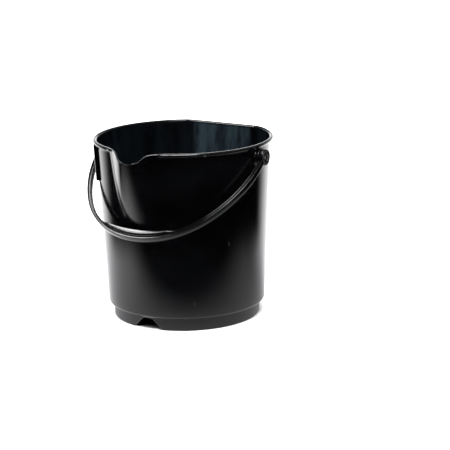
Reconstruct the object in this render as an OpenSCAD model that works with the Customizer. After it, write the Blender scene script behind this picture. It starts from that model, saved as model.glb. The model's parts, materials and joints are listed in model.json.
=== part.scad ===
// Florist bucket: a one-piece moulded tub with a pouring spout, a flat back,
// stacking fins and a foot ring, and a moulded bail that snaps onto two studs.
// The round axis of the tub is the Z axis, the floor is z = 0, the spout
// points to -Y, the flat back to +Y, and the bail turns about an X axis.

/* [Bucket] */
// Width across the rim bead
rim_d = 280; // [270:1:290]
// Height from the floor to the rim
height = 280; // [270:1:290]
// Wall thickness
wall_t = 2.2; // [1.8:0.1:2.6]
// Thickness of the bucket's floor
floor_t = 2.6; // [2:0.1:4]
// Lean of the wall away from upright, in degrees
draft = 2.93; // [2:0.01:4]
// Distance from the round axis to the flat side of the rim bead
flat_reach = 124; // [122:0.5:128]
// How far the rim bead stands out from the wall
bead_out = 4.2; // [3.5:0.1:5]
// Height of the rim bead
bead_h = 5.4; // [4:0.1:6]
// Radius of the bucket's lower corner
heel_r = 5; // [3:0.5:8]

/* [Foot ring] */
// Height of the foot ring
foot_h = 20; // [16:1:24]
// Radius of the foot ring
foot_r = 114.3; // [112:0.1:116]
// Width of the grip notch at the floor
notch_w = 52; // [40:1:56]
// Width of the grip notch at its top
notch_top_w = 18; // [12:1:24]
// Height of the grip notch
notch_h = 16.5; // [12:0.5:17]

/* [Spout] */
// Reach of the spout's tip from the round axis, at rim height
spout_reach = 160.6; // [156:0.1:162]
// Half the distance between the centres of the spout's rounded edges
nose_half = 11.5; // [9:0.5:14]
// Radius of the spout's rounded edges
nose_r = 6; // [5:0.5:8]
// Half the width of the spout where it leaves the wall
root_half = 41; // [38:0.5:42]
// Height at which the spout has run out into the wall
spout_foot_z = 160; // [156:1:170]
// How far the tip of the lip lies below the rim
lip_drop = 16; // [12:0.5:20]
// How far the corners of the lip lie below the rim
lip_corner_drop = 11; // [8:0.5:12]

/* [Fins] */
// Angle between the spout and each stacking fin, in degrees
fin_angle = 46; // [42:1:50]
// Thickness of a fin
fin_t = 3.6; // [3:0.1:4.5]
// How far a fin stands out from the wall
fin_out = 5; // [4:0.1:6]
// Height of a fin's lower end above the floor
fin_foot_z = 219; // [214:1:226]

/* [Bail] */
// Drop of the bail's pivots below the rim
pivot_drop = 20.5; // [20:0.1:22]
// Distance from the middle to the outer face of each bail eye
eye_face_x = 148; // [147:0.1:149]
// Diameter of a bail eye
eye_d = 24.5; // [23:0.1:25]
// Thickness of a bail eye
eye_t = 7.4; // [7:0.1:7.4]
// Diameter of the stud that carries the eye
stud_d = 11; // [10:0.1:12]
// Distance from the pivots to the outside of the grip
bail_reach = 184; // [182:0.5:186]
// Radius of the bail's long side curves
arm_r = 193; // [190:1:197]
// Length of the straight start of each arm, from the pivot
arm_straight = 13; // [12.5:0.1:14]
// Depth of the bail's I-section in the plane of the bail
arm_depth = 7; // [6.5:0.1:7]
// Breadth of the bail's I-section across the plane of the bail
arm_w = 10; // [9:0.1:10.5]
// Thickness of the I-section's flanges
flange_t = 2.2; // [1.8:0.1:2.4]
// Thickness of the I-section's web
web_t = 3; // [2.5:0.1:4]
// Breadth of the grip pad in its middle
grip_w = 16; // [14:0.5:20]
// Half the length of the grip pad
grip_half = 62; // [55:1:66]
// Depth from the outside of the grip to the inside of the grip pad
grip_depth = 14; // [13:0.5:15]
// Angle of the resting bail below level, in degrees
hang_angle = 37.3; // [32:0.1:37.3]

/* [Hidden] */
$fn = 128;

eps = 0.01;                      // overlap of parts that are one moulding
over = 1;                        // how far a cutting shape runs past a face
big = 400;                       // larger than the whole bucket
bead_r = bead_h / 2;
rim_r = rim_d / 2;
bead_corner_x = sqrt(pow(rim_r - bead_r, 2) - pow(flat_reach - bead_r, 2));
slope = tan(draft);
flat_wall = flat_reach - bead_out;
floor_z = foot_h + floor_t;
foot_inset = rim_r - bead_out - (height - foot_h) * slope - foot_r;
foot_flat = flat_wall - (height - foot_h) * slope - foot_inset;
spout_sink = 0.9;                // depth of the spout's lower end inside the wall
spout_fan = 15;                  // half angle that its lower end spans
spout_lift = 24;                 // how much higher the sides of its lower end lie
spout_foot_r = 3;
root_r = 4;
nose_bulge = 2;                  // how far the middle of the spout stands out from its edges
lip_root = 38;                   // half widths of the lip at the rim, where it bends and at its corners
lip_bend = 27.5;
lip_bend_drop = 1.2;
lip_corner = nose_half + nose_r;
fin_chamfer = 1;
notch_corner = 2;                // corner cut at the top of the grip notch
pivot_z = height - pivot_drop;
run_gap = 0.05;                  // radial clearance of the eye on its stud
face_gap = 0.3;                  // clearance between faces that slide past each other
eye_inner_x = eye_face_x - eye_t;
pad_d = eye_d + 1.5;             // round pad behind the eye
eye_rim = 3.6;                   // width of the eye's raised edge round the recess for the stud's head
head_recess_r = eye_d / 2 - eye_rim;
head_recess_h = 2.8;
head_r = head_recess_r - 1;
head_t = 2;
arm_root = head_recess_r + 1;    // where an arm starts inside the eye's raised edge
step = 0.03;                     // how much smaller each stretch of the bail is than the next
run_in = 2;                      // how far each stretch runs inside the next
run_in_angle = 0.8;
crown_y = (pow(arm_r - eye_face_x, 2) + pow(arm_straight, 2) - pow(arm_r - bail_reach, 2))
    / (2 * (arm_r - bail_reach + arm_straight));
crown_r = bail_reach - crown_y;
arm_sweep = atan2(crown_y - arm_straight, arm_r - eye_face_x);
grip_step = 5.5;                 // how far the pad's outer side lies inside the bail's outside
grip_taper = 14;                 // length over which each end of the pad narrows
grip_inner = bail_reach - grip_depth;
grip_end = crown_y + sqrt(pow(crown_r - arm_depth, 2) - pow(grip_half, 2));
grip_sag = grip_inner - grip_end;
grip_r = (pow(grip_half, 2) + pow(grip_sag, 2)) / (2 * grip_sag);

// Radius of the wall's outside at height z
function wall_r(z) = rim_r - bead_out - (height - z) * slope;

spout_foot_y = spout_foot_r + spout_sink - wall_r(spout_foot_z);

// Everything on the spout's side of the leaning flat back, moved in by inset
module flat_side(inset) {
    translate([0, flat_wall - inset, height])
        rotate([-draft, 0, 0])
            translate([-big / 2, -big, -big])
                cube([big, big, big + over * 2]);
}

// Solid of the tub from z0 up to z1, moved in by inset, with a rounded lower corner
module tub_form(inset, z0, z1, corner) {
    corner_x = wall_r(z0 + corner) - inset - corner;
    intersection() {
        rotate_extrude() {
            polygon([
                [0, z0],
                [corner_x, z0],
                [corner_x, z0 + corner],
                [corner_x + corner, z0 + corner],
                [wall_r(z1) - inset, z1],
                [0, z1]
            ]);
            intersection() {
                translate([corner_x, z0 + corner]) circle(corner);
                translate([corner_x - eps, z0]) square([corner * 2, corner]);
            }
        }
        flat_side(inset);
    }
}

// D-shaped upright plate of radius r whose flat side is at y = flat_y
module d_plate(r, flat_y, z0, h) {
    intersection() {
        translate([0, 0, z0]) cylinder(h = h, r = r);
        translate([-big / 2, flat_y - big, z0 - over]) cube([big, big, h + over * 2]);
    }
}

// Section of the rim bead: flat on top, half-round outside, which reaches x = 0
module bead_section() {
    translate([-bead_r, height - bead_r]) circle(bead_r);
    translate([-bead_out - wall_t, height - bead_h]) square([bead_out + wall_t - bead_r, bead_h]);
}

// Rim bead round the tub and straight along its flat back
module rim_bead() {
    intersection() {
        rotate_extrude() translate([rim_r, 0]) bead_section();
        translate([-big / 2, flat_reach - bead_r - big, 0]) cube([big, big, big]);
    }
    intersection() {
        translate([-rim_r, flat_reach, 0])
            rotate([90, 0, 90])
                linear_extrude(rim_d) bead_section();
        translate([0, 0, height - bead_h]) cylinder(h = bead_h, r = rim_r - bead_r);
    }
    for (side = [-1, 1])
        translate([side * bead_corner_x, flat_reach - bead_r, height - bead_r])
            sphere(bead_r - step, $fn = 48);
}

// Spout, from a broad nose at the rim down to an arc sunk in the wall
module spout_form(inset, top_z) {
    hull() {
        for (side = [-1, 1]) {
            translate([side * nose_half, -spout_reach + nose_r + nose_bulge, height - over])
                cylinder(h = top_z - height + over, r = nose_r - inset, $fn = 32);
            translate([side * root_half, -wall_r(height) + nose_r * 2, height - over])
                cylinder(h = top_z - height + over, r = root_r - inset, $fn = 16);
        }
        translate([0, -spout_reach + nose_r, height - over])
            cylinder(h = top_z - height + over, r = nose_r - inset, $fn = 32);
        for (a = [-1 : 0.5 : 1])
            rotate(a * spout_fan)
                translate([0, spout_foot_y, spout_foot_z + a * a * spout_lift])
                    cylinder(h = over, r = spout_foot_r - inset, $fn = 16);
    }
}

// What is cut away above the lip of the spout
module lip_cut() {
    translate([0, -foot_r, 0])
        rotate([90, 0, 0])
            linear_extrude(spout_reach)
                polygon([
                    [-lip_root, height + over],
                    [-lip_bend, height - lip_bend_drop],
                    [-lip_corner, height - lip_corner_drop],
                    [0, height - lip_drop],
                    [lip_corner, height - lip_corner_drop],
                    [lip_bend, height - lip_bend_drop],
                    [lip_root, height + over]
                ]);
}

// Stacking fin under the rim bead, on the side of the spout given by side
module fin(side) {
    rotate(side * fin_angle)
        translate([-fin_t / 2, 0, 0])
            rotate([90, 0, -90])
                mirror([0, 0, 1])
                    linear_extrude(fin_t)
                        polygon([
                            [wall_r(fin_foot_z) - wall_t / 2, fin_foot_z - fin_chamfer],
                            [wall_r(fin_foot_z) + fin_out - fin_chamfer, fin_foot_z],
                            [wall_r(fin_foot_z) + fin_out, fin_foot_z + fin_chamfer],
                            [wall_r(height - bead_h) + fin_out, height - bead_h + eps],
                            [wall_r(height - bead_h) - wall_t / 2, height - bead_h + eps]
                        ]);
}

// Round pad, stud and stud head that carry one eye of the bail
module stud(side) {
    translate([0, 0, pivot_z])
        rotate([0, side * 90, 0]) {
            translate([0, 0, wall_r(pivot_z) - wall_t])
                cylinder(h = eye_inner_x - face_gap - wall_r(pivot_z) + wall_t, d = pad_d);
            translate([0, 0, wall_r(pivot_z)])
                cylinder(h = eye_face_x - head_recess_h + face_gap - wall_r(pivot_z) + eps, d = stud_d);
            translate([0, 0, eye_face_x - head_recess_h + face_gap])
                cylinder(h = head_t, r = head_r);
        }
}

// Grip notch through the front of the foot ring
module grip_notch() {
    translate([0, -foot_r + foot_r / 4, 0])
        rotate([90, 0, 0])
            linear_extrude(foot_r / 2)
                polygon([
                    [-notch_w / 2 - over, -over],
                    [-notch_w / 2, 0],
                    [-notch_top_w / 2 - notch_corner, notch_h - notch_corner],
                    [-notch_top_w / 2, notch_h],
                    [notch_top_w / 2, notch_h],
                    [notch_top_w / 2 + notch_corner, notch_h - notch_corner],
                    [notch_w / 2, 0],
                    [notch_w / 2 + over, -over]
                ]);
}

// The whole bucket moulding
module bucket_body() {
    color([0.06, 0.06, 0.065])
        difference() {
            union() {
                tub_form(0, foot_h, height, heel_r);
                rim_bead();
                spout_form(0, height);
                d_plate(foot_r, foot_flat, 0, foot_h + eps);
                for (side = [-1, 1]) {
                    fin(side);
                    stud(side);
                }
            }
            tub_form(wall_t, floor_z, height + over, heel_r - wall_t);
            spout_form(wall_t, height + over * 2);
            d_plate(foot_r - wall_t, foot_flat - wall_t, -over, foot_h + over);
            lip_cut();
            grip_notch();
        }
}

// Rectangle whose corner and size are given, drawn in by trim on every side
module trimmed_square(corner, size, trim) {
    translate([corner[0] + trim, corner[1] + trim]) square([size[0] - 2 * trim, size[1] - 2 * trim]);
}

// I-section of the bail, its outer face at x = 0, with the web in the middle
module bail_section(trim) {
    trimmed_square([-flange_t, -arm_w / 2], [flange_t, arm_w], trim);
    trimmed_square([-arm_depth, -arm_w / 2], [flange_t, arm_w], trim);
    trimmed_square([-arm_depth + flange_t / 2, -web_t / 2], [arm_depth - flange_t, web_t], trim);
}

// One arm of the bail, flat, with its eye; side is 1 at +X and -1 at -X
module bail_arm(side) {
    mirror([side < 0 ? 1 : 0, 0, 0]) {
        translate([eye_face_x, -arm_root, 0])
            rotate([90, 0, 0])
                linear_extrude(arm_straight - arm_root + run_in) bail_section(2 * step);
        translate([eye_face_x - arm_r, -arm_straight, 0])
            rotate([0, 0, -arm_sweep - run_in_angle])
                rotate_extrude(angle = arm_sweep + run_in_angle) translate([arm_r, 0]) bail_section(step);
        difference() {
            translate([eye_inner_x, 0, 0]) rotate([0, 90, 0]) cylinder(h = eye_t, d = eye_d);
            translate([eye_inner_x - over, 0, 0])
                rotate([0, 90, 0]) cylinder(h = eye_t + over * 2, r = stud_d / 2 + run_gap);
            translate([eye_face_x - head_recess_h, 0, 0])
                rotate([0, 90, 0]) cylinder(h = head_recess_h + over, r = head_recess_r);
        }
    }
}

// Grip: a solid pad inside the crown of the bail, narrowing at its ends
module bail_grip() {
    end_w = arm_w / 2 - step;
    intersection() {
        translate([0, 0, -grip_w / 2])
            linear_extrude(grip_w)
                difference() {
                    intersection() {
                        translate([0, -crown_y]) circle(crown_r - grip_step);
                        translate([-grip_half, -bail_reach]) square([grip_half * 2, bail_reach]);
                    }
                    translate([0, grip_r - grip_inner]) circle(grip_r);
                }
        rotate([90, 0, 0])
            linear_extrude(big)
                polygon([
                    [-grip_half - over, -end_w],
                    [grip_taper - grip_half, -grip_w / 2 - over],
                    [grip_half - grip_taper, -grip_w / 2 - over],
                    [grip_half + over, -end_w],
                    [grip_half + over, end_w],
                    [grip_half - grip_taper, grip_w / 2 + over],
                    [grip_taper - grip_half, grip_w / 2 + over],
                    [-grip_half - over, end_w]
                ]);
    }
}

// The whole bail moulding, hanging at the front
module bail_handle() {
    color([0.09, 0.09, 0.095])
        translate([0, 0, pivot_z])
            rotate([hang_angle, 0, 0]) {
                for (side = [-1, 1])
                    bail_arm(side);
                translate([0, -crown_y, 0])
                    rotate([0, 0, -180 + arm_sweep])
                        rotate_extrude(angle = 180 - 2 * arm_sweep) translate([crown_r, 0]) bail_section(0);
                bail_grip();
            }
}

bucket_body();
bail_handle();
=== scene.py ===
import json
import math

import bpy
import numpy as np
from mathutils import Matrix, Vector


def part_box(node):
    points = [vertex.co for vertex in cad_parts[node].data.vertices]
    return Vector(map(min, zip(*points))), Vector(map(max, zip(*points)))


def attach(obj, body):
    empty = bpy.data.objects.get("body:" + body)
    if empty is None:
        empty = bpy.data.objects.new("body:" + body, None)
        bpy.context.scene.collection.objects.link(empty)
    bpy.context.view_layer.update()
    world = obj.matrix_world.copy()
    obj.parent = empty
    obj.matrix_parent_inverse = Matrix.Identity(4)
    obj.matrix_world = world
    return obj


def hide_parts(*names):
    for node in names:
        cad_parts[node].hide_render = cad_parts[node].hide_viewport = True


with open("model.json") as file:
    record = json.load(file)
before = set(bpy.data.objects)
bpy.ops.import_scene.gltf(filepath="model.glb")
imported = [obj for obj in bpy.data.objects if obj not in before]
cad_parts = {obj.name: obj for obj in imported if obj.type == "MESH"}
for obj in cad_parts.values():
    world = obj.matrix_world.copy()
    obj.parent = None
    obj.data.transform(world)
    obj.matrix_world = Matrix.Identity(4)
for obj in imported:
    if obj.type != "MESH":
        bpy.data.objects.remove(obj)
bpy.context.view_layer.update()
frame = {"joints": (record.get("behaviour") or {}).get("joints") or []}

# The florist bucket: a black glossy tub with a pouring spout, and a moulded bail.
# Angles round the tub are counted from the spout (-Y) towards +X. Shapes are worked out in
# millimetres and become metres when a piece is made.

MM = 0.001
tub_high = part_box("bucket_body")[1]
bail_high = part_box("bail_handle")[1]
hinge = frame["joints"][0]

# Tub
HEIGHT = tub_high.z / MM
RIM_R = HEIGHT / 2
BEAD_OUT = 4.2
BEAD_R = 2.7
WALL = 2.2
SLOPE = math.tan(math.radians(2.93))
FLAT_WALL = tub_high.y / MM - BEAD_OUT
BACK_CORNER = 30.0
HEEL_R = 5.0
FOOT_H = 20.0
FLOOR_Z = 22.6
FOOT_R = 114.3
FOOT_FLAT = 98.3
FOOT_CORNER = 26.0
EDGE = 0.5
NOTCH_TOP = 16.5
NOTCH_HALF = (8.0, 26.0)
TUB_COLUMNS = 500
SPOUT_CROWD = 4.2
CORNER_CROWD = 1.6

# Spout
NOSE_R = 55.0
NOSE_START = 162.0
NOSE_LEAN = 0.262
FLANK = (0.667, 0.741, 0.081)
FLANK_REACH = 104.5
NOSE_ROUND = 5.0
CREASE_ROUND = 2.5
LIP_X = (0.0, 17.7, 27.5, 34.0)
LIP_Z = (264.0, 269.0, 278.8, HEIGHT)
LIP_EASE = 0.7
BEAD_ENDS = (37.0, 50.0)

# Fins, pads and studs
FIN_ANGLE = 46.0
FIN_T = 3.6
FIN_OUT = 5.0
FIN_FOOT = 218.5
FIN_END = 1.4
FIN_EASE = 6.0
FIN_CORNER = 0.9
FIN_SUNK = 0.6
PIVOT_Z = hinge["pos_m"][2] / MM
EYE_FACE = bail_high.x / MM
EYE_T = 7.4
EYE_R = 12.25
EYE_BORE = 5.55
RECESS_R = 8.65
RECESS_H = 2.8
STUD_R = 5.5
HEAD_R = 7.65
HEAD_FACE = tub_high.x / MM
PAD_R = 12.75
FACE_GAP = 0.3

# Bail, drawn flat with its pivots on the X axis and its grip towards -Y
HANG = math.radians(37.3)
REACH = 184.0
ARM_R = 193.0
ARM_STRAIGHT = 13.0
ARM_DEPTH = 7.0
ARM_HALF = 5.0
FLANGE = 2.2
FLANGE_BOW = 0.45
FLANGE_ROOT = 0.5
ARM_EDGE = 0.8
GRIP_EDGE = 0.3
WEB_HALF = 1.5
GRIP_HALF = 62.0
GRIP_DEPTH = 14.0
GRIP_HALF_W = 8.0
GRIP_STEP = 5.5
GRIP_TAPER = 10.0
GRIP_CORNERS = (3.0, 1.0)
CORNER_POINTS = 8


def smooth(low, high, x):
    """Smooth step: 0 below low, 1 above high, 3t^2 - 2t^3 between them."""
    t = np.clip((x - low) / (high - low), 0.0, 1.0)
    return t * t * (3.0 - 2.0 * t)


def soft_min(a, b, k):
    """The smaller of a and b, rounded off where they are less than k apart."""
    h = np.maximum(k - np.abs(a - b), 0.0) / k
    return np.minimum(a, b) - h * h * k / 4.0


def soft_max(a, b, k):
    """The larger of a and b, rounded off where they are less than k apart."""
    return -soft_min(-a, -b, k)


def rounded_line(x, xs, ys, spread=1.6):
    """Straight stretches through the points (xs, ys), each bend eased by averaging over spread."""
    taps = np.linspace(-spread, spread, 5)
    return sum(np.interp(np.abs(x + tap), xs, ys) for tap in taps) / len(taps)


# ---------------------------------------------------------------- meshes


def grid_faces(rows, cols, wrap_rows=False):
    """Quads of a grid of rows by cols points, numbered row by row, that closes on itself along its
    columns, and along its rows too when wrap_rows is true."""
    last = rows if wrap_rows else rows - 1
    i, j = np.meshgrid(np.arange(last), np.arange(cols), indexing="ij")
    down = (i + 1) % rows
    side = (j + 1) % cols
    quads = [i * cols + j, i * cols + side, down * cols + side, down * cols + j]
    return np.stack(quads, axis=-1).reshape(-1, 4)


def fan(centre, first, cols):
    """Triangles that close a row of cols points, numbered from first, with the point centre."""
    j = np.arange(cols)
    return np.stack([np.full(cols, centre), first + j, first + (j + 1) % cols], axis=-1)


def closed_surface(grid, wrap_rows=False):
    """Points and faces of a grid (rows, cols, 3) closed round its columns. A pole at the middle of the
    first and of the last row closes its ends, unless the rows close on themselves."""
    rows, cols = grid.shape[:2]
    points = grid.reshape(-1, 3)
    quads = grid_faces(rows, cols, wrap_rows)
    if wrap_rows:
        return points, quads, np.zeros((0, 3), int)
    poles = np.stack([grid[0].mean(axis=0), grid[-1].mean(axis=0)])
    start = fan(rows * cols, 0, cols)[:, ::-1]
    end = fan(rows * cols + 1, (rows - 1) * cols, cols)
    return np.concatenate([points, poles]), quads, np.concatenate([start, end])


def volume(points, quads, tris):
    """Signed volume inside closed faces: the sum of a . (b x c) / 6 over their triangles."""
    split = np.concatenate([quads[:, [0, 1, 2]], quads[:, [0, 2, 3]], tris])
    a, b, c = points[split[:, 0]], points[split[:, 1]], points[split[:, 2]]
    return float(np.einsum("ij,ij->i", a, np.cross(b, c)).sum() / 6.0)


def make_piece(name, surfaces, material, body):
    """One smooth-shaded object of several closed surfaces, each turned to face outwards."""
    points, faces, count = [], [], 0
    for p, quads, tris in surfaces:
        if volume(p, quads, tris) < 0:
            quads, tris = quads[:, ::-1], tris[:, ::-1]
        points.append(p)
        faces += (quads + count).tolist() + (tris + count).tolist()
        count += len(p)
    mesh = bpy.data.meshes.new(name)
    mesh.from_pydata((np.concatenate(points) * MM).tolist(), [], faces)
    mesh.shade_smooth()
    mesh.materials.append(material)
    piece = bpy.data.objects.new(name, mesh)
    bpy.context.scene.collection.objects.link(piece)
    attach(piece, body)
    return piece


# ---------------------------------------------------------------- tub


def wall_r(z):
    """Radius of the outside of the wall at height z, without its flat and spout."""
    return RIM_R - BEAD_OUT - (HEIGHT - z) * SLOPE


def plan_reach(angle, r, flat, corner):
    """Polar reach of a D: a circle of radius r cut by a line at y = flat, with corners of radius
    corner that touch both. Each corner's centre C lies corner inside the line and the circle, and
    there the reach is C.d + sqrt(corner^2 - |C|^2 + (C.d)^2) along the direction d."""
    side, back = np.abs(np.sin(angle)), -np.cos(angle)
    cy = flat - corner
    cx = np.sqrt((r - corner) ** 2 - cy**2)
    along = cx * side + cy * back
    arc = along + np.sqrt(np.maximum(corner**2 - cx**2 - cy**2 + along**2, 0.0))
    line = flat / np.maximum(back, 1e-6)
    on_line = (back > 0) & (line * side < cx)
    on_arc = (back > 0) & (side * cy < cx * back) & ~on_line
    return np.where(on_line, line, np.where(on_arc, arc, r))


def spout_reach(angle, z, inset):
    """Polar reach of the spout: the smaller of its nose, a leaning cylinder of radius NOSE_R, and its
    two flanks, leaning planes with the normal FLANK."""
    front = np.maximum(np.cos(angle), 0.3)
    side = np.abs(np.sin(angle))
    tip = wall_r(NOSE_START) + NOSE_LEAN * (z - NOSE_START)
    centre = tip - NOSE_R
    nose = centre * front + np.sqrt(np.maximum((NOSE_R - inset) ** 2 - (centre * side) ** 2, 0.0))
    flank = (FLANK_REACH + FLANK[2] * z - inset) / (FLANK[0] * side + FLANK[1] * front)
    reach = soft_min(nose, flank, NOSE_ROUND)
    return np.where(np.cos(angle) > 0.75, reach, 0.0)


def wall_reach(angle, z, inset):
    """Polar reach of the wall's outside moved in by inset: the D of the tub, or the spout if it
    stands further out."""
    flat = FLAT_WALL - (HEIGHT - z) * SLOPE - inset
    tub = plan_reach(angle, wall_r(z) - inset, flat, BACK_CORNER - inset)
    return soft_max(tub, spout_reach(angle, z, inset), CREASE_ROUND)


def angles_round_the_tub():
    """Angles round the tub, closer together over the spout and notch and at the back corners."""
    fine = np.linspace(-math.pi, math.pi, 7201)
    turn = np.abs(fine)
    off_spout = smooth(0.44, 0.52, turn)
    to_corner = smooth(2.35, 2.45, turn)
    past_corner = smooth(2.9, 3.0, turn)
    crowd = 1.0 + SPOUT_CROWD * (1 - off_spout) + CORNER_CROWD * to_corner * (1 - past_corner)
    total = np.concatenate([[0.0], np.cumsum((crowd[1:] + crowd[:-1]) / 2)])
    return np.interp(np.linspace(0.0, total[-1], TUB_COLUMNS, endpoint=False), total, fine)


def tub_surface():
    """The tub as one closed surface: a profile that runs from the middle of the floor up the inside,
    over the rim, down the outside, round the foot ring and back to the middle underneath. Each profile
    point has a reach and a height at every angle. Gives the surface, and for each of its points 1 on
    the inside and 0 elsewhere."""
    angle = angles_round_the_tub()
    rim_x = wall_reach(angle, HEIGHT, 0.0) * np.sin(angle)
    in_front = np.cos(angle) > 0
    top = np.where(in_front, rounded_line(rim_x, LIP_X, LIP_Z, LIP_EASE), HEIGHT)
    bead = np.where(in_front, smooth(*BEAD_ENDS, np.abs(rim_x)), 1.0)
    rows = []

    def add(reach, z):
        rows.append((reach, np.broadcast_to(z, angle.shape)))

    # Floor, from its middle outwards, and the inner corner
    inner_heel = HEEL_R - WALL
    floor_edge = wall_reach(angle, FLOOR_Z + inner_heel, WALL + inner_heel)
    for part in (0.04, 0.3, 0.6, 0.85, 0.97, 1.0):
        add(floor_edge * part, FLOOR_Z)
    for turn in np.linspace(0, math.pi / 2, 6)[1:]:
        inset = WALL + inner_heel * (1 - math.sin(turn))
        add(wall_reach(angle, FLOOR_Z + inner_heel, inset), FLOOR_Z + inner_heel * (1 - math.cos(turn)))
    # Inside of the wall, with most rows where the spout is
    climb = np.concatenate([np.linspace(0.04, 0.5, 7), np.linspace(0.53, 0.985, 44)])
    low = FLOOR_Z + inner_heel
    for part in climb:
        z = low + part * (top - low - WALL)
        add(wall_reach(angle, z, WALL), z)
    inner_rows = len(rows)
    # Rim: a flat-topped bead, or the plain round edge of the lip
    for inset, drop, lip_inset, lip_drop in rim_profile():
        z = top - (bead * drop + (1 - bead) * lip_drop)
        add(wall_reach(angle, z, bead * inset + (1 - bead) * lip_inset), z)
    # Outside of the wall and the rounded lower corner
    low = FOOT_H + HEEL_R
    high = top - 2 * BEAD_R - 0.6
    for part in climb[::-1]:
        z = low + part * (high - low)
        add(wall_reach(angle, z, 0.0), z)
    for turn in np.linspace(0, math.pi / 2, 8):
        z = low - HEEL_R * math.sin(turn)
        add(wall_reach(angle, z, HEEL_R * (1 - math.cos(turn))), z)
    # Ledge, foot ring with its notch, and the underside
    foot = plan_reach(angle, FOOT_R, FOOT_FLAT, FOOT_CORNER)
    foot_inside = plan_reach(angle, FOOT_R - WALL, FOOT_FLAT - WALL, FOOT_CORNER - WALL)
    notch = rounded_line(foot * np.sin(angle), (0.0, *NOTCH_HALF), (NOTCH_TOP, NOTCH_TOP, 0.0))
    bottom = np.where(in_front, notch, 0.0)
    add(foot + EDGE, FOOT_H)
    add(foot + EDGE * 0.3, FOOT_H - EDGE * 0.3)
    for part in (0.97, 0.85, 0.5, 0.15, 0.0):
        z = bottom + EDGE + part * (FOOT_H - 2 * EDGE - bottom)
        add(foot, z)
    for turn in np.linspace(0, math.pi, 9)[1:-1]:
        across = (1 - math.cos(turn)) / 2
        add(foot + (foot_inside - foot) * across, bottom + EDGE * (1 - math.sin(turn)))
    for part in (0.0, 0.5, 0.95):
        z = bottom + EDGE + part * (FOOT_H - EDGE - bottom)
        add(foot_inside, z)
    for part in (0.995, 0.9, 0.6, 0.3, 0.04):
        add(foot_inside * part, FOOT_H)

    reach = np.stack([row[0] for row in rows])
    z = np.stack([row[1] for row in rows])
    grid = np.stack([reach * np.sin(angle), -reach * np.cos(angle), z], axis=-1)
    on_inside = np.repeat(np.arange(len(rows)) < inner_rows, len(angle))
    return closed_surface(grid), np.concatenate([on_inside, [True, False]]).astype(float)


def rim_profile():
    """Points of the rim from the inside over the top to the outside, each as the inset and the drop
    below the rim of the bead, then of the plain lip, whose edge is a half circle."""
    turns = np.linspace(0, math.pi, 17)
    lip_r = WALL / 2
    bead = [(WALL, 1.9), (WALL - 0.12, 1.5), (WALL - 0.3, 1.3), (WALL - 0.45, 1.18)]
    bead += [(WALL - 1.6, 0.285), (WALL - 1.75, 0.17), (WALL - 2.1, 0.0)]
    for turn in np.linspace(0, math.pi, 9):
        bead.append((BEAD_R - BEAD_OUT - BEAD_R * math.sin(turn), BEAD_R * (1 - math.cos(turn))))
    bead += [(-0.8, 2 * BEAD_R), (-0.25, 2 * BEAD_R + 0.15), (0.0, 2 * BEAD_R + 0.55)]
    lip = [(lip_r * (1 + math.cos(turn)), lip_r * (1 - math.sin(turn))) for turn in turns[:12]]
    drops = np.linspace(lip_r, 2 * BEAD_R + 0.55, len(bead) - len(lip) + 1)[1:]
    lip[-1] = (0.0, lip_r)
    lip += [(0.0, drop) for drop in drops]
    return [(*a, *b) for a, b in zip(bead, lip)]


def fin_surface(side):
    """A stacking fin: a rectangle with rounded outer corners and fillets at the wall, carried down
    from the bead. Its reach is eased in just under the bead and over a rounded lower end."""
    z = np.concatenate([np.linspace(HEIGHT - BEAD_R, FIN_FOOT + 3, 14),
                        FIN_FOOT + FIN_END * (1 - np.sin(np.linspace(0.1, 0.5, 8) * math.pi))])
    end = np.clip((z - FIN_FOOT) / FIN_END, 0.0, 1.0)
    out = FIN_OUT * (0.86 + 0.14 * np.sqrt(1 - (1 - end) ** 2))
    out[-1] = FIN_OUT * 0.8
    out = out - smooth(HEIGHT - FIN_EASE, HEIGHT - BEAD_R, z)
    half = FIN_T / 2
    corner = FIN_CORNER
    turns = np.linspace(0, math.pi / 2, 6)
    across = [half + 1.6, half + 0.5, half + 0.1]
    along = [0.0, 0.45, 1.5]
    section_x = across + [half - corner + corner * math.cos(t) for t in turns]
    section_y = along + [-corner + corner * math.sin(t) for t in turns]
    proud = [0.0] * len(across) + [1.0] * len(turns)
    section_x = np.array(section_x + [-v for v in section_x[::-1]])
    section_y = np.array(section_y + section_y[::-1])
    proud = np.array(proud + proud[::-1])
    base = wall_r(z)[:, None]
    reach = base - FIN_SUNK + section_y + proud * (out[:, None] + FIN_SUNK)
    back = base - 1.6
    edge = half * np.ones_like(back)
    x = np.concatenate([np.broadcast_to(section_x, reach.shape), -edge, edge], axis=1)
    y = np.concatenate([reach, back, back], axis=1)
    turn = math.radians(side * FIN_ANGLE)
    world_x = x * math.cos(turn) + y * math.sin(turn)
    world_y = x * math.sin(turn) - y * math.cos(turn)
    grid = np.stack([world_x, world_y, np.broadcast_to(z[:, None], x.shape)], axis=-1)
    return closed_surface(grid)


def turned(profile, side, wrap=False):
    """A profile of (radius, x) points turned round the hinge line, at +X or at -X."""
    profile = np.array(profile)
    turn = np.linspace(0, 2 * math.pi, 96, endpoint=False)
    r, x = profile[:, 0][:, None], profile[:, 1][:, None]
    across = np.broadcast_to(side * x, (len(profile), len(turn)))
    parts = [across, r * np.sin(turn), PIVOT_Z + r * np.cos(turn)]
    return closed_surface(np.stack(parts, axis=-1), wrap)


def arc(r, x, radius, start, stop, steps=6):
    """Points of a rounded edge about (r, x), from the angle start to stop in degrees: 0 points away
    from the hinge line and 90 outwards along it."""
    turns = np.radians(np.linspace(start, stop, steps))
    return [(r + radius * math.cos(t), x + radius * math.sin(t)) for t in turns]


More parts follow.
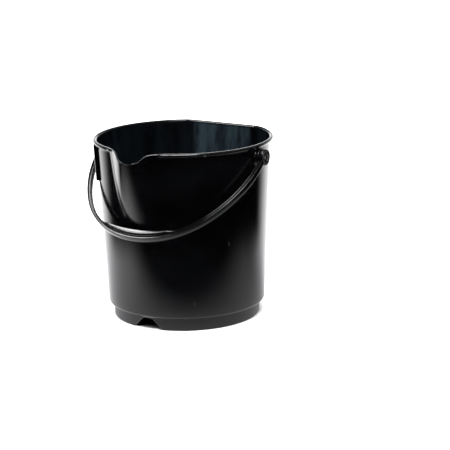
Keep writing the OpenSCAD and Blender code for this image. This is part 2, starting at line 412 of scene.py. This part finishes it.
def stud_surface(side):
    """Round pad, stud and domed stud head that carry one eye of the bail."""
    pad_face = EYE_FACE - EYE_T - FACE_GAP
    wall = wall_r(PIVOT_Z)
    profile = [(0.1, wall - 1.2), (PAD_R + 1.8, wall - 1.2)]
    profile += [(PAD_R + 1.6, wall - 0.5), (PAD_R + 0.4, wall + 0.4), (PAD_R, wall + 1.4)]
    profile += arc(PAD_R - 0.8, pad_face - 0.8, 0.8, 0, 90)
    profile += [(STUD_R + 0.4, pad_face), (STUD_R, pad_face + 0.4)]
    profile += [(STUD_R, HEAD_FACE - 2.4), (STUD_R + 0.3, HEAD_FACE - 2.0), (HEAD_R - 0.3, HEAD_FACE - 2.0)]
    profile += arc(HEAD_R - 0.9, HEAD_FACE - 0.9, 0.9, 0, 80)
    profile += [(HEAD_R * 0.6, HEAD_FACE - 0.06), (2.6, HEAD_FACE), (2.1, HEAD_FACE - 0.2)]
    profile += [(1.7, HEAD_FACE - 0.7), (0.1, HEAD_FACE - 0.8)]
    return turned(profile, side)


# ---------------------------------------------------------------- bail

# The crown arc touches both side arcs: its centre, its radius, and the angle each side arc turns
SIDE_IN = ARM_R - EYE_FACE
CROWN_IN = ARM_R - REACH
CROWN_Y = (SIDE_IN**2 + ARM_STRAIGHT**2 - CROWN_IN**2) / (2 * (CROWN_IN + ARM_STRAIGHT))
CROWN_R = REACH - CROWN_Y
SWEEP = math.atan2(CROWN_Y - ARM_STRAIGHT, SIDE_IN)


def hang(flat):
    """Points of the flat bail (x, y, height above its plane) at rest: turned down by HANG about the
    hinge line and lifted to it."""
    x, y, h = flat[..., 0], flat[..., 1], flat[..., 2]
    return np.stack([x, y * math.cos(HANG) - h * math.sin(HANG),
                     PIVOT_Z + y * math.sin(HANG) + h * math.cos(HANG)], axis=-1)


def bail_line():
    """The outside line of the bail, from the eye at +X to the eye at -X: a straight start, a long side
    arc of radius ARM_R, the crown arc about (0, -CROWN_Y), and the same again. Gives the points and the
    outward direction at each."""
    start = RECESS_R + 1.0
    straight = np.stack([np.full(6, EYE_FACE), -np.linspace(start, ARM_STRAIGHT, 6)], axis=-1)
    flat_way = np.stack([np.ones(6), np.zeros(6)], axis=-1)
    turn = np.linspace(0, SWEEP, 60)[1:]
    way = np.stack([np.cos(turn), -np.sin(turn)], axis=-1)
    side = np.array([EYE_FACE - ARM_R, -ARM_STRAIGHT]) + ARM_R * way
    turn = np.linspace(SWEEP, math.pi / 2, 80)[1:]
    crown_way = np.stack([np.cos(turn), -np.sin(turn)], axis=-1)
    crown = np.array([0.0, -CROWN_Y]) + CROWN_R * crown_way
    half = np.concatenate([straight, side, crown])
    half_way = np.concatenate([flat_way, way, crown_way])
    mirror = np.array([-1.0, 1.0])
    line = np.concatenate([half, half[-2::-1] * mirror])
    return line, np.concatenate([half_way, half_way[-2::-1] * mirror])


def rounded_section(corner):
    """I-section of the bail as a closed loop of (depth from the outside, height above the middle):
    two flanges with slightly bowed faces and edges rounded by corner, joined by a thin web."""
    root = FLANGE_ROOT
    loop = [(0.0, 0.8), (0.0, 2.2)]
    quarter = np.linspace(0, math.pi / 2, 5)
    for t in quarter:
        loop.append((corner - corner * math.cos(t), ARM_HALF - corner + corner * math.sin(t)))
    for t in quarter:
        loop.append((FLANGE - corner + corner * math.sin(t), ARM_HALF - corner + corner * math.cos(t)))
    for t in quarter[:4]:
        loop.append((FLANGE + root - root * math.cos(t), WEB_HALF + root - root * math.sin(t)))
    half = np.array(loop)
    half[:, 0] += np.where(half[:, 0] < FLANGE / 2, FLANGE_BOW * (half[:, 1] / ARM_HALF) ** 2, 0.0)
    far = half[::-1] * [-1, 1] + [ARM_DEPTH, 0]
    upper = np.concatenate([half, far])
    return np.concatenate([upper, upper[::-1] * [1, -1]])


def bail_surface():
    """The I-section carried along the bail's outside line, the edges of its flanges well rounded in
    the arms and nearly square along the grip."""
    line, way = bail_line()
    square = (1 - smooth(GRIP_HALF - 8, GRIP_HALF + 10, np.abs(line[:, 0])))[:, None, None]
    square = np.where(line[:, 1, None, None] < -CROWN_Y, square, 0.0)
    section = square * rounded_section(GRIP_EDGE) + (1 - square) * rounded_section(ARM_EDGE)
    spots = line[:, None, :] - way[:, None, :] * section[:, :, :1]
    return closed_surface(hang(np.concatenate([spots, section[:, :, 1:]], axis=-1)))


def grip_surface():
    """The grip pad: its outer side follows the crown, GRIP_STEP inside it, and its inner side is a
    flatter arc that meets the inner flange GRIP_HALF away from the middle. The section is a rectangle
    whose corners are rounded by GRIP_CORNERS outside and inside. It narrows over the last GRIP_TAPER."""
    outer = CROWN_R - GRIP_STEP
    middle = REACH - GRIP_DEPTH
    end_y = CROWN_Y + math.sqrt((CROWN_R - ARM_DEPTH) ** 2 - GRIP_HALF**2)
    sag = middle - end_y
    bend = (GRIP_HALF**2 + sag**2) / (2 * sag)
    x = np.sin(np.linspace(-0.5, 0.5, 121) * math.pi) * (GRIP_HALF + 1.5)
    inner_y = bend - middle - np.sqrt(bend**2 - x**2)
    outer_y = -CROWN_Y - np.sqrt(outer**2 - x**2)
    half = (inner_y - outer_y) / 2
    taper = np.clip((np.abs(x) - GRIP_HALF + GRIP_TAPER) / GRIP_TAPER, 0.0, 1.0)
    height = GRIP_HALF_W - (GRIP_HALF_W - ARM_HALF + 0.3) * taper
    spot = np.arange(4 * CORNER_POINTS)
    quadrant = spot // CORNER_POINTS
    step = spot % CORNER_POINTS * CORNER_POINTS / (CORNER_POINTS - 1)
    turn = (quadrant * CORNER_POINTS + step) * math.pi / (2 * CORNER_POINTS)
    side = np.array([1.0, -1.0, -1.0, 1.0])[quadrant]
    rise = np.array([1.0, 1.0, -1.0, -1.0])[quadrant]
    corner = np.minimum(np.where(side < 0, GRIP_CORNERS[0], GRIP_CORNERS[1]), half[:, None] * 0.8)
    across = side * (half[:, None] - corner) + corner * np.cos(turn)
    up = rise * (height[:, None] - corner) + corner * np.sin(turn)
    y = ((inner_y + outer_y) / 2)[:, None] + across
    return closed_surface(hang(np.stack([np.broadcast_to(x[:, None], y.shape), y, up], axis=-1)))


def eye_surface(side):
    """One eye of the bail: a ring with rounded edges, a bore, and a recess for the stud's head."""
    back = EYE_FACE - EYE_T
    profile = arc(EYE_R - 1.2, EYE_FACE - 1.2, 1.2, 0, 90, 7)
    profile += arc(RECESS_R + 0.6, EYE_FACE - 0.6, 0.6, 90, 180, 5)
    profile += [(RECESS_R, EYE_FACE - RECESS_H + 0.3), (RECESS_R - 0.3, EYE_FACE - RECESS_H)]
    profile += [(EYE_BORE + 0.4, EYE_FACE - RECESS_H), (EYE_BORE, EYE_FACE - RECESS_H - 0.4)]
    profile += [(EYE_BORE, back + 0.4), (EYE_BORE + 0.4, back)]
    profile += arc(EYE_R - 0.8, back + 0.8, 0.8, -90, 0, 6)
    return turned(profile, side, wrap=True)


# ---------------------------------------------------------------- materials


class Wire:
    """A socket of a node tree. Arithmetic on it adds Math nodes."""

    def __init__(self, recipe, socket):
        self.recipe = recipe
        self.socket = socket

    def math(self, operation, first, second):
        return self.recipe.node("ShaderNodeMath", {"operation": operation}, {0: first, 1: second})

    def __add__(self, other):
        return self.math("ADD", self, other)

    def __radd__(self, other):
        return self.math("ADD", other, self)

    def __sub__(self, other):
        return self.math("SUBTRACT", self, other)

    def __rsub__(self, other):
        return self.math("SUBTRACT", other, self)

    def __mul__(self, other):
        return self.math("MULTIPLY", self, other)

    def __rmul__(self, other):
        return self.math("MULTIPLY", other, self)


class Recipe:
    """The node tree of one material, or of the world."""

    def __init__(self, tree):
        self.tree = tree
        tree.nodes.clear()

    def node(self, kind, settings=(), sockets=(), out=0):
        """Makes a node of that kind, sets its settings, then the values or links of its sockets."""
        made = self.tree.nodes.new(kind)
        for name, value in dict(settings).items():
            setattr(made, name, value)
        for key, value in dict(sockets).items():
            if isinstance(value, Wire):
                self.tree.links.new(value.socket, made.inputs[key])
            else:
                made.inputs[key].default_value = value
        return Wire(self, made.outputs[out]) if made.outputs else made

    def steps(self, value, low, high):
        """Smooth step of a value between low and high."""
        return self.node("ShaderNodeMapRange", {"interpolation_type": "SMOOTHSTEP"},
                         {"Value": value, "From Min": low, "From Max": high})

    def noise(self, where, scale, detail=3.0, roughness=0.5):
        """Noise of a scale per metre at a place, centred on 0.5."""
        return self.node("ShaderNodeTexNoise", {}, {"Vector": where, "Scale": scale, "Detail": detail,
                                                    "Roughness": roughness})

    def scaled(self, where, factors):
        """A place stretched by a factor along each axis."""
        return self.node("ShaderNodeVectorMath", {"operation": "MULTIPLY"}, {0: where, 1: factors})

    def part(self, where, axis):
        """One coordinate of a place, "X", "Y" or "Z"."""
        return self.node("ShaderNodeSeparateXYZ", {}, {0: where}, out=axis)

    def blend_colour(self, amount, first, second):
        """Mix of two colours by an amount from 0 to 1."""
        return self.node("ShaderNodeMix", {"data_type": "RGBA"}, {0: amount, 6: first, 7: second}, out=2)


def new_material(name):
    """An empty material and the recipe of its node tree."""
    material = bpy.data.materials.new(name)
    material.use_nodes = True
    return material, Recipe(material.node_tree)


# Colours of the plastic, of the painted light on its inside, and of the wear on it
DEEP_BLACK = (0.0003, 0.0003, 0.0005, 1.0)
FADED_BLACK = (0.0011, 0.0012, 0.0016, 1.0)
SATIN_BLACK = (0.0025, 0.0026, 0.0034, 1.0)
PAINTED_INSIDE_LIGHT_BLUE = (0.020, 0.031, 0.040, 1.0)
WORN_GREY = (0.055, 0.056, 0.058, 1.0)

# The flat back inside the tub, where the painted light is strongest, and the finish, in metres
PANEL_DEPTH = (0.088, 0.094)
PANEL_EDGE = (0.049, 0.057)
SATIN_BLUR = 0.0006
SATIN_ROUGH = 0.26
PLASTIC_IOR = 1.49
BUMP_STRENGTH = 0.35
BUMP_HEIGHT = 0.0006


def black_plastic(name, gloss, satin_below=None):
    """Black moulded polypropylene: near-black with a faint cloudiness, a slightly wavy gloss, fine
    scuffs and dust. Below the height satin_below its surface is satin, as a foot ring is. Where the
    piece's attribute says inside, it is painted a lighter blue-grey in streaks, strongest on the flat
    back: painted light that stands in for reflected light."""
    material, r = new_material(name)
    place = r.node("ShaderNodeTexCoord", {}, {}, out="Object")
    clouds = r.noise(place, 9.0, 3.0, 0.55)
    grain = r.noise(place, 900.0, 2.0, 0.5)
    waves = r.noise(r.scaled(place, (1.0, 1.0, 0.45)), 22.0, 1.0, 0.4)
    drag = r.noise(r.scaled(place, (1.0, 1.0, 0.06)), 420.0, 2.0, 0.6)
    scratch = r.steps(r.noise(r.scaled(place, (1.0, 1.0, 0.12)), 150.0, 4.0, 0.7), 0.66, 0.72)
    worn = scratch * r.steps(r.noise(place, 14.0, 2.0), 0.52, 0.66)
    dust = r.steps(r.noise(place, 1500.0, 1.0, 0.4), 0.70, 0.78) * r.steps(clouds, 0.45, 0.7)
    colour = r.blend_colour(r.steps(clouds, 0.35, 0.7), DEEP_BLACK, FADED_BLACK)
    # Painted light: the inside is lightened towards blue-grey in streaks, most on the flat back, to stand
    # in for reflected light.
    inside = r.node("ShaderNodeAttribute", {"attribute_name": "inside"}, {}, out="Fac")
    across = r.node("ShaderNodeMath", {"operation": "ABSOLUTE"}, {0: r.part(place, "X")})
    panel = r.steps(r.part(place, "Y"), *PANEL_DEPTH) * (1.0 - r.steps(across, *PANEL_EDGE))
    streaks = r.noise(r.scaled(place, (1.0, 1.0, 0.25)), 45.0, 3.0, 0.6)
    painted_inside_light = inside * (0.10 + panel * 0.75) * r.steps(streaks, 0.25, 0.75)
    colour = r.blend_colour(painted_inside_light, colour, PAINTED_INSIDE_LIGHT_BLUE)
    colour = r.blend_colour(worn * 0.35 + dust * 0.12, colour, WORN_GREY)
    rough = gloss + clouds * 0.05 + drag * 0.04 + worn * 0.16 + dust * 0.15
    if satin_below is not None:
        low, high = satin_below - SATIN_BLUR, satin_below + SATIN_BLUR
        satin = 1.0 - r.steps(r.part(place, "Z"), low, high)
        colour = r.blend_colour(satin, colour, SATIN_BLACK)
        rough = rough + satin * SATIN_ROUGH
    height = waves + drag * 0.012 + grain * 0.010 - worn * 0.02
    bump = r.node("ShaderNodeBump", {},
                  {"Strength": BUMP_STRENGTH, "Distance": BUMP_HEIGHT, "Height": height})
    shader = r.node("ShaderNodeBsdfPrincipled", {},
                    {"Base Color": colour, "Roughness": rough, "IOR": PLASTIC_IOR, "Normal": bump})
    r.node("ShaderNodeOutputMaterial", {}, {"Surface": shader})
    return material


# ---------------------------------------------------------------- studio

AZIMUTH = math.radians(32.7)
ELEVATION = math.radians(14.17)
ROLL = math.radians(1.425)
DISTANCE = 2.745
LENS_RATIO = 3.8933333333  # focal length over the width of the frame
SENSOR = 36.0
FRAME_OFFSET = (0.0623, -0.0027)
MIDDLE_Z = 0.14035
TO_CAMERA = (math.sin(AZIMUTH), -math.cos(AZIMUTH), 0.0)
ACROSS_VIEW = (math.cos(AZIMUTH), math.sin(AZIMUTH), 0.0)

# Floor and table patch: radius, level, colour, and how brightly the patch glows in the gloss
FLOOR_DISC = (30.0, -0.0002)
FLOOR_WHITE = (0.86, 0.86, 0.865, 1.0)
TABLE_DISC = (0.60, -0.0001)
TABLE_WHITE = (0.98, 0.98, 1.0, 1.0)
TABLE_GLOW = 1.15
TABLE_LEAN = 1.5
TABLE_FRONT = (0.08, 0.30)
TABLE_REAR = (-0.30, 0.02)
TABLE_REAR_GLOW = 2.3
TABLE_FADE = (0.36, 0.58)

# Surroundings: how bright the room and its ceiling look in the gloss, the backdrop, and the fill light
PLAIN_WHITE = (1.0, 1.0, 1.0, 1.0)
ROOM_BEHIND = (-0.78, -0.44)
ROOM_GLOW = 2.4
CEILING = (0.10, 0.30)
CEILING_GLOW = 0.3
BACKDROP_GLOW = 2.0
FILL_FROM = (0.55, 0.9)
FILL_GLOW = 5.0

# Soft lights: place, aim, size and power
OVERHEAD_LIGHT = ((-0.82, -0.12, 1.68), (0.0, -0.146, 0.148), (0.38, 0.44), 11.0)
SIDE_LIGHT = ((-1.0, -0.85, 1.62), (0.0, -0.15, 0.15), (0.5, 0.5), 18.0)
FRONT_LIGHT = ((0.50, -0.78, 1.80), (0.0, -0.05, 0.15), (0.8, 0.8), 50.0)


def set_camera():
    """Camera in front of the bucket and to its right, level but for a small roll, looking a little
    to the right of the bucket."""
    back = Vector((math.sin(AZIMUTH) * math.cos(ELEVATION), -math.cos(AZIMUTH) * math.cos(ELEVATION),
                   math.sin(ELEVATION)))
    right = Vector((math.cos(AZIMUTH), math.sin(AZIMUTH), 0.0))
    up = back.cross(right)
    across = right * math.cos(ROLL) - up * math.sin(ROLL)
    upward = right * math.sin(ROLL) + up * math.cos(ROLL)
    middle = Vector((0.0, 0.0, MIDDLE_Z))
    place = middle + back * DISTANCE
    aim = middle + across * FRAME_OFFSET[0] + upward * FRAME_OFFSET[1]
    z = (place - aim).normalized()
    x = upward.cross(z).normalized()
    y = z.cross(x)
    data = bpy.data.cameras.new("camera")
    data.sensor_width = SENSOR
    data.lens = LENS_RATIO * SENSOR
    data.clip_end = 100.0
    camera = bpy.data.objects.new("camera", data)
    camera.matrix_world = Matrix(((x.x, y.x, z.x, place.x), (x.y, y.y, z.y, place.y),
                                  (x.z, y.z, z.z, place.z), (0, 0, 0, 1)))
    bpy.context.scene.collection.objects.link(camera)
    bpy.context.scene.camera = camera


def disc(name, radius, z, material, **seen_by):
    """A flat round stage piece, and which kinds of rays see it."""
    turn = np.linspace(0, 2 * math.pi, 96, endpoint=False)
    rim = np.stack([radius * np.cos(turn), radius * np.sin(turn), np.full(96, z)], axis=-1)
    mesh = bpy.data.meshes.new(name)
    mesh.from_pydata(rim.tolist(), [], [list(range(96))])
    mesh.materials.append(material)
    piece = bpy.data.objects.new(name, mesh)
    bpy.context.scene.collection.objects.link(piece)
    for ray, seen in seen_by.items():
        setattr(piece, "visible_" + ray, seen)


def set_floor():
    """A white floor, and a round glossy-only patch of it that gives the tub the reflection of the
    bright table round it, fading towards the front."""
    white, r = new_material("white_floor")
    diffuse = r.node("ShaderNodeBsdfDiffuse", {}, {"Color": FLOOR_WHITE})
    r.node("ShaderNodeOutputMaterial", {}, {"Surface": diffuse})
    disc("floor", *FLOOR_DISC, white, glossy=False)
    table, r = new_material("table_light")
    place = r.node("ShaderNodeTexCoord", {}, {}, out="Object")
    toward = r.node("ShaderNodeVectorMath", {"operation": "DOT_PRODUCT"},
                    {0: place, 1: TO_CAMERA}, out="Value")
    sideways = r.node("ShaderNodeVectorMath", {"operation": "DOT_PRODUCT"},
                      {0: place, 1: ACROSS_VIEW}, out="Value")
    level = (TABLE_GLOW - sideways * TABLE_LEAN) * (1.0 - r.steps(toward, *TABLE_FRONT))
    rear = 1.0 - r.steps(toward, *TABLE_REAR)
    level = level * (1.0 - rear) + rear * TABLE_REAR_GLOW
    reach = r.node("ShaderNodeVectorMath", {"operation": "LENGTH"}, {0: place}, out="Value")
    bounces = r.node("ShaderNodeLightPath", {}, {}, out="Diffuse Depth")
    level = level * (1.0 - r.steps(bounces, 0.2, 0.8))
    glow = r.node("ShaderNodeEmission", {}, {"Color": TABLE_WHITE, "Strength": level})
    clear = r.node("ShaderNodeBsdfTransparent")
    faded = r.node("ShaderNodeMixShader", {}, {0: r.steps(reach, *TABLE_FADE), 1: glow, 2: clear})
    r.node("ShaderNodeOutputMaterial", {}, {"Surface": faded})
    disc("table_light", *TABLE_DISC, table, camera=False, diffuse=False, shadow=False)


def set_surroundings():
    """White behind the bucket, and a white fill from above on the floor and the matt colours. The gloss
    reflects a room that is dark in front and bright behind the bucket, with a dim ceiling."""
    world = bpy.data.worlds.new("studio")
    world.use_nodes = True
    bpy.context.scene.world = world
    r = Recipe(world.node_tree)
    way = r.node("ShaderNodeTexCoord", {}, {}, out="Generated")
    facing = r.node("ShaderNodeVectorMath", {"operation": "DOT_PRODUCT"},
                    {0: way, 1: TO_CAMERA}, out="Value")
    around = 1.0 - r.steps(facing, *ROOM_BEHIND)
    height = r.part(way, "Z")
    overhead = r.steps(height, *CEILING)
    level = around * ROOM_GLOW * (1.0 - overhead) + overhead * CEILING_GLOW
    room = r.node("ShaderNodeBackground", {}, {"Color": PLAIN_WHITE, "Strength": level})
    seen = r.node("ShaderNodeLightPath", {}, {}, out="Is Camera Ray")
    gloss = r.node("ShaderNodeLightPath", {}, {}, out="Is Glossy Ray")
    fill = seen * BACKDROP_GLOW + r.steps(height, *FILL_FROM) * FILL_GLOW
    white = r.node("ShaderNodeBackground", {}, {"Color": PLAIN_WHITE, "Strength": fill})
    shown = r.node("ShaderNodeMixShader", {}, {0: gloss, 1: white, 2: room})
    r.node("ShaderNodeOutputWorld", {}, {"Surface": shown})


def soft_box(name, place, aim, size, power):
    """A rectangular soft light at a place, aimed at a point."""
    data = bpy.data.lights.new(name, "AREA")
    data.shape = "RECTANGLE"
    data.size, data.size_y = size
    data.energy = power
    lamp = bpy.data.objects.new(name, data)
    lamp.location = place
    lamp.rotation_euler = (Vector(aim) - Vector(place)).to_track_quat("-Z", "Y").to_euler()
    lamp.visible_camera = False
    bpy.context.scene.collection.objects.link(lamp)


bpy.context.scene.view_settings.view_transform = "Standard"
set_camera()
set_floor()
set_surroundings()
soft_box("overhead_light", *OVERHEAD_LIGHT)
soft_box("side_light", *SIDE_LIGHT)
soft_box("front_light", *FRONT_LIGHT)

tub_black = black_plastic("tub_black", 0.09, satin_below=FOOT_H * MM)
bail_black = black_plastic("bail_black", 0.11)

shell, inside = tub_surface()
tub = make_piece("tub_shell", [shell], tub_black, "bucket")
tub.data.attributes.new("inside", "FLOAT", "POINT").data.foreach_set("value", inside)
make_piece("stacking_fins", [fin_surface(side) for side in (-1, 1)], tub_black, "bucket")
make_piece("bail_studs", [stud_surface(side) for side in (-1, 1)], tub_black, "bucket")
arms = make_piece("bail_arms", [bail_surface()], bail_black, "bail")
make_piece("bail_grip", [grip_surface()], bail_black, "bail")
make_piece("bail_eyes", [eye_surface(side) for side in (-1, 1)], bail_black, "bail")
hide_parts("bucket_body")
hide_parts("bail_handle")
